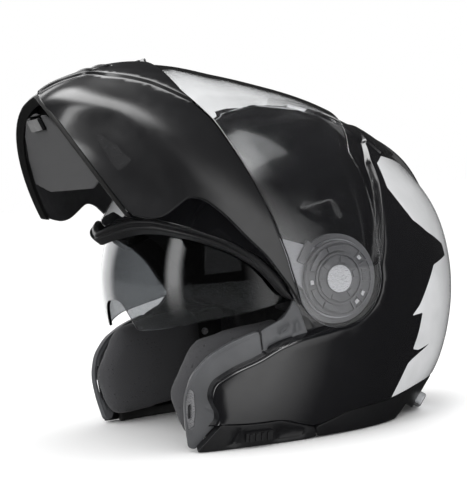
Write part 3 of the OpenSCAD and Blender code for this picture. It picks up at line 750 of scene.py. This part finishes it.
CHIN_SPLIT = [(-97, 23), (-99.5, 35), (-101, 43), (-95, 51), (-79, 58), (-58, 64.2),
              (-39, 71.2), (-14, 75.8), (-3, 76.6)]
CHIN_TOP = [(3, 76.9), (-4, 77.7), (-12, 79.5), (-31, 83), (-57, 86), (-83, 88), (-114, 89),
            (-137, 90), (-164, 86), (-185, 91.5), (-330, 96)]
CHIN_OUTLINE = [(-330, -5), (-250, 0), (-108, 3), (-99, 14)] + CHIN_SPLIT + CHIN_TOP
STEP = [(0, -202, 12), (8, -203, 30), (18, -201.2, 46.8), (37, -195, 53.2), (51.4, -186, 63.9),
        (61.8, -177.3, 72), (70, -169.4, 77), (77.3, -160.8, 82.1), (83, -153, 87)]
SCOOP = [(18, -194, -3), (50, -182, 3.5), (60.7, -178, 13.7), (67.7, -173.8, 21.2),
         (72, -170.4, 26.5), (79.2, -162.7, 30.5), (88.8, -149, 33.6), (98.6, -130, 36),
         (106, -110, 37), (108.5, -103, 33), (106, -104, 20), (101, -108, 9), (92, -121, 4),
         (81, -141, 1.5), (68, -161, 0), (50, -177, -2)]
BELT = [(14, -203, 14), (33, -197, 30), (56, -185, 36), (66, -176, 50), (76, -165, 66),
        (88, -149, 76), (101, -126, 80), (112, -100, 80), (118, -80, 78), (119, -72, 66),
        (113, -96, 50), (105, -113, 41), (95, -137, 38), (82, -158, 34), (72, -171, 30),
        (66, -175, 22), (50, -184, 8), (28, -194, 2)]
panel("chin_bar_skin", FRONT, CHIN_OUTLINE, 4, [CHIN, RAW], "chin_bar_body",
      ("chin_bar",), rim=0.9, gap=3.0, flip=FLIP,
      holes=[[("f", -30, 51), ("f", 24, 51), ("f", 24, 67), ("f", -30, 67)]],
      relief=[(STEP + [(84, -150, 96), (-30, -185, 110), (-30, -203, 10)], 2.0, 1.3),
              (SCOOP, -5.0, 11.0), (BELT, 2.2, 12.0)])
panel("chin_edge_rubber", FRONT.inset(-0.4),
      [(-330, -9), (-250, -2), (-108, 0.1), (-106.6, 2.9), (-250, 2.5), (-330, -3)], 7.2,
      [RUBBER], "chin_bar_body", ("chin_edge_trim",), rim=1.1, gap=2.2,
      flip=FLIP, corner=1.0)
panel("chin_foam", FRONT.inset(4.4),
      [(-330, 12), (-134, 12), (-134, 78), (-330, 78)], 15.5, [EPS], "chin_bar_body",
      ("chin_bar_liner",), rim=2.5, gap=4.0, flip=FLIP,
      holes=[[("f", -30, 49), ("f", 26, 49), ("f", 26, 69), ("f", -30, 69)]])
panel("chin_vent_frame", FRONT.inset(-3.2),
      [("f", -30, 51.8), ("f", 23.4, 51.8), ("f", 23.4, 66.4), ("f", -30, 66.4)], 9.5, [CHIN],
      "chin_bar_body", ("chin_vent_housing",), rim=1.4, gap=2.0, flip=FLIP,
      corner=3.0,
      holes=[[("f", -30, 55.2), ("f", 17.8, 55.2), ("f", 17.8, 63), ("f", -30, 63)]])
panel("breath_guard", FRONT.inset(17.0),
      [("f", -20, 78.6), ("f", 57, 78.6), ("f", 40, 95.5), ("f", 14, 104.5), ("f", -20, 104.5)],
      2.8, [RUBBER], "chin_bar_body", ("breath_deflector",), rim=1.0, gap=3.0,
      flip=FLIP)

SHIELD_UPPER = [(-330, 232), (-97, 209.5), (-85, 196), (-70, 177), (-56, 174.5), (-35, 166.5),
                (-12, 156.5), (6, 148.5)]
shield_low = [(y, z + 1) for y, z in CHIN_TOP[1:]]
panel("clear_shield", FRONT, shield_low + SHIELD_UPPER + arc(END_R, 83, -87, 18), 2.2, [CLEAR],
      "shield_body", ("face_shield",), rim=0.7, gap=4.5, flip=FLIP, corner=3.0,
      relief=[([("f", -20, 92), ("f", 14, 92), ("f", 12, 98), ("f", -20, 98)], 4.4, 2.0)])

# ---- Sun visor ----

VISOR = Skin([(-90, VISOR_R), (270, VISOR_R)], VISOR_HALF, VISOR_SQUARE, VISOR_CENTRE)
panel("sun_visor_lens", VISOR,
      [("f", -20, 104.5), ("f", 10, 104.5), ("f", 17, 101), ("f", 29, 83), (-111, 84),
       (-91, 88.5), (-67, 92), (-52, 94.4), (-36, 98), (-22, 101), (-12, 102), (-3, 105.5),
       (-1.5, 112), (-4, 119), (-12, 122), (-24, 126), (-38, 140), (-56, 160), (-74, 184),
       (-90, 200), (-230, 200), (-230, 112)], 2.2, [SMOKE], "sun_visor_body",
      ("sun_visor",), rim=0.8, gap=3.5, corner=5.0,
      holes=[[(VISOR_CENTRE[0] + 3.7 * math.cos(a), VISOR_CENTRE[1] + 3.7 * math.sin(a))
              for a in np.linspace(0, 2 * math.pi, 12, endpoint=False)]])

# ---- What frames the opening ----

panel("brow_bead", RECESS.inset(-2.4),
      [(-330, 160), (-250, 160), (-121, 158.5), (-111, 157), (-93, 150), (-74, 140), (-60, 129),
       (-48, 114), (-40, 104), (-33.6, 100.2), (-42.3, 117.6), (-55.3, 133.6), (-71.3, 145.6),
       (-92.2, 156.6), (-111.1, 164.6), (-121, 165.6), (-250, 163), (-330, 163)], 8, [BEAD],
      "helmet", ("brow_gasket",), rim=2.4, gap=2.4, corner=6.0,
      relief=[([(-330, 153.5), (-250, 155.5), (-121, 160.4), (-111.5, 159.6), (-93.5, 152.3),
                (-74.5, 142.3), (-60.5, 131.2), (-50, 117.5), (-49.3, 118.6), (-60.2, 132.9),
                (-74.2, 144), (-93, 154.2), (-111.3, 161.6), (-121, 162.5), (-250, 157.5),
                (-330, 155.5)], -1.5, 0.8)])
FRAME_TOP = [(-59, 82), (-42, 89), (-36.5, 96), (-34, 101)]
FRAME_INNER = [(-110, 3), (-113, 20), (-114, 39), (-109, 55), (-98, 67), (-83, 75), (-68, 80)]
STRIKER = [(-110.4, 16), (-112.2, 27), (-112.6, 38), (-110.6, 46), (-107.2, 43), (-106.3, 30),
           (-106.8, 18)]
for name, sign in (("left", 1), ("right", -1)):
    panel("frame_upper_" + name, RECESS.inset(-2.2),
          [(-59, 81.5)] + FRAME_TOP + [(-30, 96), (-28, 88), (-24, 75.5), (-31, 72.6),
                                       (-48, 67.6), (-57.3, 63.4)], 2.0, [FRAME_GREY],
          "helmet", ("side_frame_upper_" + name,), rim=0.7, gap=2.0, side=sign,
          corner=2.0,
          relief=[([(-56, 66), (-48, 69.4), (-36, 73.6), (-36, 76.4), (-49, 74), (-56, 71)],
                   -1.3, 0.8),
                  ([(-47, 76.5), (-39, 79.5), (-37, 85.5), (-45.5, 82.5)], -1.2, 0.6),
                  ([(-44.5, 78.5), (-41, 79.8), (-40, 83), (-43.8, 81.7)], 1.0, 0.5),
                  ([(-35, 77), (-29, 78.5), (-31, 87), (-35, 85.5)], -1.0, 0.6)])
    panel("frame_lower_" + name, RECESS.inset(-2.2),
          [(-105, 1.2)] + FRAME_INNER + [(-60, 82), (-58.3, 63), (-62, 60.6), (-80, 54.6),
                                         (-94.6, 46.6), (-96.6, 38), (-90.6, 26),
                                         (-90.4, 19.5), (-99, 10)], 5.2, [FRAME_GREY],
          "helmet", ("side_frame_lower_" + name,), rim=0.9, gap=2.0, side=sign,
          corner=3.0, holes=[STRIKER],
          relief=[([(-109.5, 8), (-112, 20), (-112.8, 38), (-108, 53.5), (-97.4, 65.2),
                    (-82.6, 73.4), (-68, 78.2), (-57, 80.5), (-57, 79), (-67, 76.6),
                    (-81.5, 71.6), (-95.6, 63), (-105.4, 51.5), (-109, 37), (-108.4, 20),
                    (-107, 9)], -0.5, 0.8),
                  ([(-100, 30.5), (-92, 27.5), (-92, 29.6), (-100, 32.8)], 0.5, 0.5)])
    panel("striker_" + name, RECESS.inset(-0.9),
          [(y + 0.7 * math.copysign(1, y + 109.3), z + 0.8 * math.copysign(1, z - 30))
           for y, z in STRIKER], 1.6, [STEEL], "helmet",
          ("striker_plate_" + name,), rim=0.5, gap=1.6, side=sign, corner=2.0,
          holes=[[(-110.6, 24), (-110.9, 34), (-109, 34.5), (-108.7, 24)]])
    panel("base_trim_" + name, PROUD,
          [(-107, 0.4), (-17.3, 0.4), (-19.6, 8), (-46, 16.7), (-91, 18.7), (-92, 17)], 7,
          [TRIM], "helmet", ("base_trim_front_" + name,), rim=0.8, gap=2.6,
          side=sign, corner=1.5,
          relief=[([(-84, 3.6), (-79, 13.2), (-76, 13.2), (-78, 3.4)], -0.7, 0.5),
                  ([(-52, 3), (-50, 12.6), (-28, 9), (-28, 3)], -0.6, 0.5)])
panel("base_trim_back", PROUD,
      [(-17, 0.4), (60, 0.4), ("r", 85, 0.4), ("r", 50, 0.4), ("r", 20, 0.4), ("r", -20, 0.4),
       ("r", -20, 26.5), ("r", 30, 26.5), (80, 23.7), (48, 18.7),
       (9, 16.2), (-19.3, 8)], 7, [TRIM], "helmet", ("base_trim_rear",), rim=0.8,
      gap=3.4, corner=2.0)
panel("rear_diffuser_skin", PROUD.inset(-5),
      [(-20, 110, 3), (74, 94, 3), (70, 92, 14), (60, 95, 19), (-20, 110, 19)], 4.8, [PALE],
      "helmet", ("rear_diffuser",), rim=1.2, gap=3.0)
panel("rear_exhaust", Skin(SCOOP_PROFILE, SHELL_HALF),
      [("t", -25, 80), ("t", 20, 80), ("t", 43, 92.5), ("t", 45, 109), ("t", 24, 136),
       ("t", -25, 136)], 6, [BLACK], "helmet", ("rear_exhaust_cover",), rim=1.4,
      gap=3.0, relief=[([("t", 4, 100), ("t", 20, 100), ("t", 30, 108), ("t", 18, 124),
                         ("t", 4, 128)], -2.2, 2.0)])

# ---- Inside: foam, padding and curtain ----

CLOTH_FRAMES = 12        # steps of the cheek pads' cloth pressure
BALL_STRETCH = 1.2       # a pad's balls are this much longer than wide


def empty_object(name, mesh):
    obj = bpy.data.objects.new(name, mesh)
    bpy.context.scene.collection.objects.link(obj)
    return obj


def apply_all(obj):
    graph = bpy.context.evaluated_depsgraph_get()
    graph.update()
    mesh = bpy.data.meshes.new_from_object(obj.evaluated_get(graph), depsgraph=graph)
    obj.modifiers.clear()
    obj.data = mesh


def remesh(obj, size):
    mod = obj.modifiers.new("remesh", "REMESH")
    mod.mode, mod.voxel_size = "VOXEL", size * MM


def smooth_over(obj, rounds, levels):
    mod = obj.modifiers.new("smooth", "SMOOTH")
    mod.factor, mod.iterations = 0.5, rounds
    if levels:
        mod = obj.modifiers.new("sub", "SUBSURF")
        mod.levels = mod.render_levels = levels
    apply_all(obj)
    obj.data.polygons.foreach_set("use_smooth", np.full(len(obj.data.polygons), True))


def hand_over(obj, mat, node, body):
    obj.data.materials.clear()
    obj.data.materials.append(mat)
    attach(obj, body)
    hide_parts(node)
    return obj


def pad_from(points, name, mat, node, size=4.5, pressure=3.0, cap=5.0,
             shrink=1.5):
    """A cheek pad: a hull of balls (x, y, z, radius) in the hinge frame, remeshed, pressed
    outwards by cloth pressure and smoothed."""
    bm = bmesh.new()
    for x, y, z, r in points:
        ball = bmesh.ops.create_icosphere(bm, subdivisions=3, radius=1.0)
        for v in ball["verts"]:
            v.co = Vector(((x + v.co.x * (r - shrink)) * MM,
                           (y + HINGE_Y + v.co.y * (BALL_STRETCH * r - shrink)) * MM,
                           (z + v.co.z * (BALL_STRETCH * r - shrink)) * MM))
    hull = bmesh.ops.convex_hull(bm, input=bm.verts)
    drop = {g for g in hull["geom_interior"] + hull["geom_unused"]
            if isinstance(g, bmesh.types.BMVert)}
    bmesh.ops.delete(bm, geom=list(drop), context="VERTS")
    mesh = bpy.data.meshes.new(name)
    bm.to_mesh(mesh)
    bm.free()
    obj = empty_object(name, mesh)
    remesh(obj, size)
    apply_all(obj)
    rest = np.array([v.co for v in obj.data.vertices])
    cloth = obj.modifiers.new("cloth", "CLOTH")
    cloth.settings.quality = 4
    cloth.settings.mass = 0.2
    cloth.settings.tension_stiffness = cloth.settings.compression_stiffness = 12
    cloth.settings.use_pressure = True
    cloth.settings.uniform_pressure_force = pressure
    cloth.settings.effector_weights.gravity = 0
    cloth.collision_settings.use_collision = False
    for f in range(1, CLOTH_FRAMES + 1):
        bpy.context.scene.frame_set(f)
    apply_all(obj)
    bpy.context.scene.frame_set(1)
    now = np.array([v.co for v in obj.data.vertices])
    move = now - rest
    reach = np.linalg.norm(move, axis=1, keepdims=True)
    now = rest + move * np.minimum(1, cap * MM / np.maximum(reach, 1e-9))
    obj.data.vertices.foreach_set("co", now.astype(np.float32).ravel())
    smooth_over(obj, 3, 1)
    hand_over(obj, mat, node, "helmet")


CHEEK = [(77, -102, 39, 13), (78, -97, 19, 12), (84, -96, 34, 13), (79, -88, 65, 12.5),
         (86, -80, 60, 12), (84, -48, 24, 12), (81, -62, 71, 12), (83, -36, 72, 13),
         (87, -32, 36, 12)]
for name, sign in (("left", 1), ("right", -1)):
    pad_from([(sign * x, y, z, r) for x, y, z, r in CHEEK], "cheek_pad_soft_" + name, MESH,
             "cheek_pad_" + name)


def cad_copy(node, name, mat, body, size=3.5, smooth=4, levels=1):
    """A smoother stand-in grown from a CAD node's own shape."""
    obj = empty_object(name, frame["nodes"][node].data.copy())
    obj.data.materials.clear()
    remesh(obj, size)
    smooth_over(obj, smooth, levels)
    hand_over(obj, mat, node, body)


cad_copy("crown_pad", "crown_pad_soft", MESH, "helmet", 3.0)
cad_copy("neck_roll", "neck_roll_soft", LEATHER, "helmet", 3.0)
cad_copy("impact_liner", "bead_foam_liner", EPS, "helmet", 3.2, smooth=3, levels=0)
cad_copy("liner_front_insert", "bead_foam_insert", EPS, "helmet", 3.0, levels=0)
cad_copy("chin_curtain", "chin_curtain_soft", CURTAIN, "chin_bar_body", 1.1,
         smooth=1)
cad_copy("base_edge_strip", "base_edge_rubber", RUBBER, "helmet", 1.6,
         smooth=2, levels=0)

# ---- Hinge mechanism seen through the shield: rings, ribs, stops and the lever ----

def sector(r0, r1, start, end):
    """A piece of a ring about the hinge, as (y, z) points."""
    n = max(2, round((end - start) / 8))
    turn = np.radians(np.linspace(start, end, n))
    ring = [(r1 * math.cos(t), HINGE_Z + r1 * math.sin(t)) for t in turn]
    return ring + [(r0 * math.cos(t), HINGE_Z + r0 * math.sin(t)) for t in turn[::-1]]


def slabs(name, outlines, x0, x1, sign, mats, body):
    """Flat plates of (y, z) outline between two distances from the middle plane."""
    verts, faces, face_mat = [], [], []
    for points, mat in outlines:
        base, n = len(verts), len(points)
        loop = points if (area(np.array(points)) > 0) == (sign > 0) else points[::-1]
        verts += [(sign * x, y, z) for x in (x0, x1) for y, z in loop]
        faces += [[base + i for i in range(n)][::-1], [base + n + i for i in range(n)]]
        faces += [[base + i, base + (i + 1) % n, base + n + (i + 1) % n, base + n + i]
                  for i in range(n)]
        face_mat += [mat] * (n + 2)
    obj = add_mesh(name, in_place(np.array(verts, float), 0), faces, mats, body,
                   face_mat=face_mat, smooth=False)
    soft = obj.modifiers.new("soft_edges", "BEVEL")
    soft.width, soft.segments, soft.limit_method = 0.0002, 2, "ANGLE"
    return obj


for name, sign in (("left", 1), ("right", -1)):
    lo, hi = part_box("shield_ratchet_" + name)
    face = min(max(abs(lo[0]), abs(hi[0])) / MM, 124.6)
    plates = [(sector(r0, r1, half, half + 180), 0)
              for r0, r1 in ((25.3, 27), (17, 18.6), (8.6, 10)) for half in (0, 180)]
    plates += [(sector(18.4, 25.5, a, a + 3), 0) for a in range(-66, 60, 18)]
    plates += [(sector(19.8, 23.6, a, a + 34), 0) for a in (76, 128, 196, 232)]
    plates += [(sector(20.4, 23, a, a + 9), 1) for a in (-58, -38, 34, 178)]
    plates += [(sector(11.5, 15.6, a, a + 22), 0) for a in range(0, 360, 60)]
    slabs("ratchet_relief_" + name, plates, face - 0.3, face + 0.7, sign, [ACETAL, STEEL],
          "shield_body")
    tab = [([(-31, 128), (-26, 125), (-17, 138), (-22, 142)], 0),
           ([(-23, 121), (-17, 117), (-9, 133), (-15, 137)], 0),
           ([(-20.5, 122), (-17.5, 120.5), (-13, 130), (-16, 132)], 1)]
    slabs("ratchet_lever_" + name, tab, face - 4.2, face - 1.2, sign, [ACETAL, ZINC],
          "chin_bar_body")

# ---- CAD nodes that stay: better materials and softened edges ----

LOOKS = {
    "striker_plate": STEEL, "pivot_screw": STEEL, "strap_anchors": STEEL, "latch_hook": STEEL,
    "sun_visor_pins": STEEL, "hinge_plate": ZINC, "hinge_base": ACETAL,
    "shield_ratchet": ACETAL, "chin_strap": WEBBING, "buckle_body": NYLON,
    "ratchet_tongue": NYLON, "buckle_lever": RED, "sun_visor_slider": TRIM,
    "top_vent": BLACK, "chin_vent_slider": TRIM, "release_button": TRIM,
}
for node_name, obj in frame["nodes"].items():
    if obj.hide_render:
        continue
    mat = next(m for key, m in LOOKS.items() if node_name.startswith(key))
    for slot_ in obj.material_slots:
        slot_.link = "OBJECT"
        slot_.material = mat
    soft = obj.modifiers.new("soft_edges", "BEVEL")
    soft.width, soft.segments, soft.limit_method = 0.0003, 2, "ANGLE"
    soft.angle_limit = math.radians(35)
    soft.harden_normals = False

# ---- Camera, lights, floor ----

CAM_AZ, CAM_EL, CAM_ROLL, CAM_DIST, CAM_FOCAL = 65.28, 2.4, -4.25, 1.145, 1476.5
CAM_TARGET = Vector((0, -0.00724, 0.1378))
az, el, roll = (math.radians(v) for v in (CAM_AZ, CAM_EL, CAM_ROLL))
back = Vector((math.sin(az) * math.cos(el), -math.cos(az) * math.cos(el), math.sin(el)))
level = Vector((0, 0, 1)).cross(back).normalized()
upward = back.cross(level)
right = math.cos(roll) * level + math.sin(roll) * upward
up = -math.sin(roll) * level + math.cos(roll) * upward
cam_data = bpy.data.cameras.new("camera")
cam = bpy.data.objects.new("camera", cam_data)
bpy.context.scene.collection.objects.link(cam)
cam_data.sensor_width = 36.0
cam_data.lens = CAM_FOCAL * 36.0 / 490.0
cam_data.clip_start, cam_data.clip_end = 0.05, 20.0
turn = Matrix((right, up, back)).transposed()
cam.matrix_world = Matrix.Translation(CAM_TARGET + back * CAM_DIST) @ turn.to_4x4()
bpy.context.scene.camera = cam

scene = bpy.context.scene
scene.view_settings.view_transform = "Standard"
# Panels seen in reflections: direction, direction of the width, (half, soft) x 2, strength
PANELS = [((-0.15, -0.17, 0.97), (1, 0, 0), (0.4, 0.3), (0.1, 0.2), 5.5),
          ((0.18, -0.9, 0.4), (1, 0.2, 0), (0.05, 0.16), (0.35, 0.4), 5.0),
          ((0.97, 0.15, -0.1), (0, 1, 0), (0.08, 0.3), (0.3, 0.55), 1.4),
          ((-1, -0.05, 0), (0, 1, 0), (0.22, 0.14), (0.3, 0.2), 2.0)]
world = bpy.data.worlds.new("studio")
scene.world = world
world.use_nodes = True
wt = world.node_tree


def backdrop(strength, color=(1, 1, 1)):
    node = wt.nodes.new("ShaderNodeBackground")
    node.inputs["Color"].default_value = (*color, 1)
    node.inputs["Strength"].default_value = strength
    return node.outputs["Background"]


def calc(tree, operation, *values):
    """A Math node over numbers or sockets."""
    node = tree.nodes.new("ShaderNodeMath")
    node.operation = operation
    for i, v in enumerate(values):
        if isinstance(v, (int, float)):
            node.inputs[i].default_value = v
        else:
            tree.links.new(v, node.inputs[i])
    return node.outputs["Value"]


def either(tree, factor, no, yes):
    mix = tree.nodes.new("ShaderNodeMixShader")
    tree.links.new(factor, mix.inputs["Fac"])
    tree.links.new(no, mix.inputs[1])
    tree.links.new(yes, mix.inputs[2])
    return mix.outputs["Shader"]


def patch(towards, side, width, height, strength):
    """A soft-edged panel of light in the room's reflections; width and height are
    (half size, softness) in sines of the angle, side is the direction of the width."""
    towards = Vector(towards).normalized()
    side = (Vector(side) - towards * Vector(side).dot(towards)).normalized()
    level = strength
    for axis, (reach, soft) in ((side, width), (towards.cross(side), height),
                                (towards, (None, None))):   # the last keeps to the front
        dot = wt.nodes.new("ShaderNodeVectorMath")
        dot.operation = "DOT_PRODUCT"
        dot.inputs[1].default_value = axis
        wt.links.new(direction, dot.inputs[0])
        value = dot.outputs["Value"]
        remap = wt.nodes.new("ShaderNodeMapRange")
        remap.interpolation_type = "SMOOTHSTEP"
        if reach is None:
            ends = (0.0, 0.3, 0.0, 1.0)
        else:
            value = calc(wt, "ABSOLUTE", value)
            ends = (reach, reach + soft, 1.0, 0.0)
        for key, v in zip(("From Min", "From Max", "To Min", "To Max"), ends):
            remap.inputs[key].default_value = v
        wt.links.new(value, remap.inputs["Value"])
        level = calc(wt, "MULTIPLY", remap.outputs["Result"], level)
    return level


# A white sweep for the eye, bright walls for diffuse light, a dark room with soft panels of
# light for mirror reflections
direction = wt.nodes.new("ShaderNodeTexCoord").outputs["Generated"]
glow = 0.03
for panel_light in PANELS:
    glow = calc(wt, "ADD", patch(*panel_light), glow)
mirror_room = wt.nodes.new("ShaderNodeBackground")
wt.links.new(glow, mirror_room.inputs["Strength"])
ray = wt.nodes.new("ShaderNodeLightPath").outputs
plain = either(wt, ray["Is Camera Ray"], backdrop(1.1), backdrop(1.0))
mirrored = calc(wt, "MULTIPLY", calc(wt, "GREATER_THAN", ray["Glossy Depth"], 0.5),
                calc(wt, "LESS_THAN", ray["Diffuse Depth"], 0.5))
room = either(wt, mirrored, plain, mirror_room.outputs["Background"])
wt.links.new(room, wt.nodes["World Output"].inputs["Surface"])


def softbox(name, place, size, power, aim=(0, 0, 0.14)):
    data = bpy.data.lights.new(name, "AREA")
    data.shape, data.size, data.size_y, data.energy = "RECTANGLE", size[0], size[1], power
    lamp = bpy.data.objects.new(name, data)
    bpy.context.scene.collection.objects.link(lamp)
    lamp.location = place
    lamp.visible_glossy = False
    lamp.rotation_mode = "QUATERNION"
    lamp.rotation_quaternion = (Vector(aim) - Vector(place)).to_track_quat("-Z", "Y")


softbox("key_top", (0.1, -0.3, 2.0), (1.5, 1.5), 14)
softbox("fill_near", (1.7, -1.0, 0.9), (1.2, 1.2), 4)
softbox("rim_back", (-0.6, 2.2, 1.1), (1.6, 1.2), 3)

floor_mesh = bpy.data.meshes.new("floor")
S = 30.0
floor_mesh.from_pydata([(-S, -S, 0), (S, -S, 0), (S, S, 0), (-S, S, 0)], [], [(0, 1, 2, 3)])
floor = bpy.data.objects.new("floor", floor_mesh)
bpy.context.scene.collection.objects.link(floor)
fmat, ft, fp = material("pale_floor")
ft.links.new(tint(ft, noise(ft, 3, 3).outputs["Fac"], (0.97, 0.97, 0.97),
                (1.0, 1.0, 1.0)), fp.inputs["Base Color"])
fp.inputs["Roughness"].default_value = 0.9
fp.inputs["Specular IOR Level"].default_value = 0.1
floor_mesh.materials.append(fmat)
floor.location.z = -0.0005
floor.visible_glossy = False
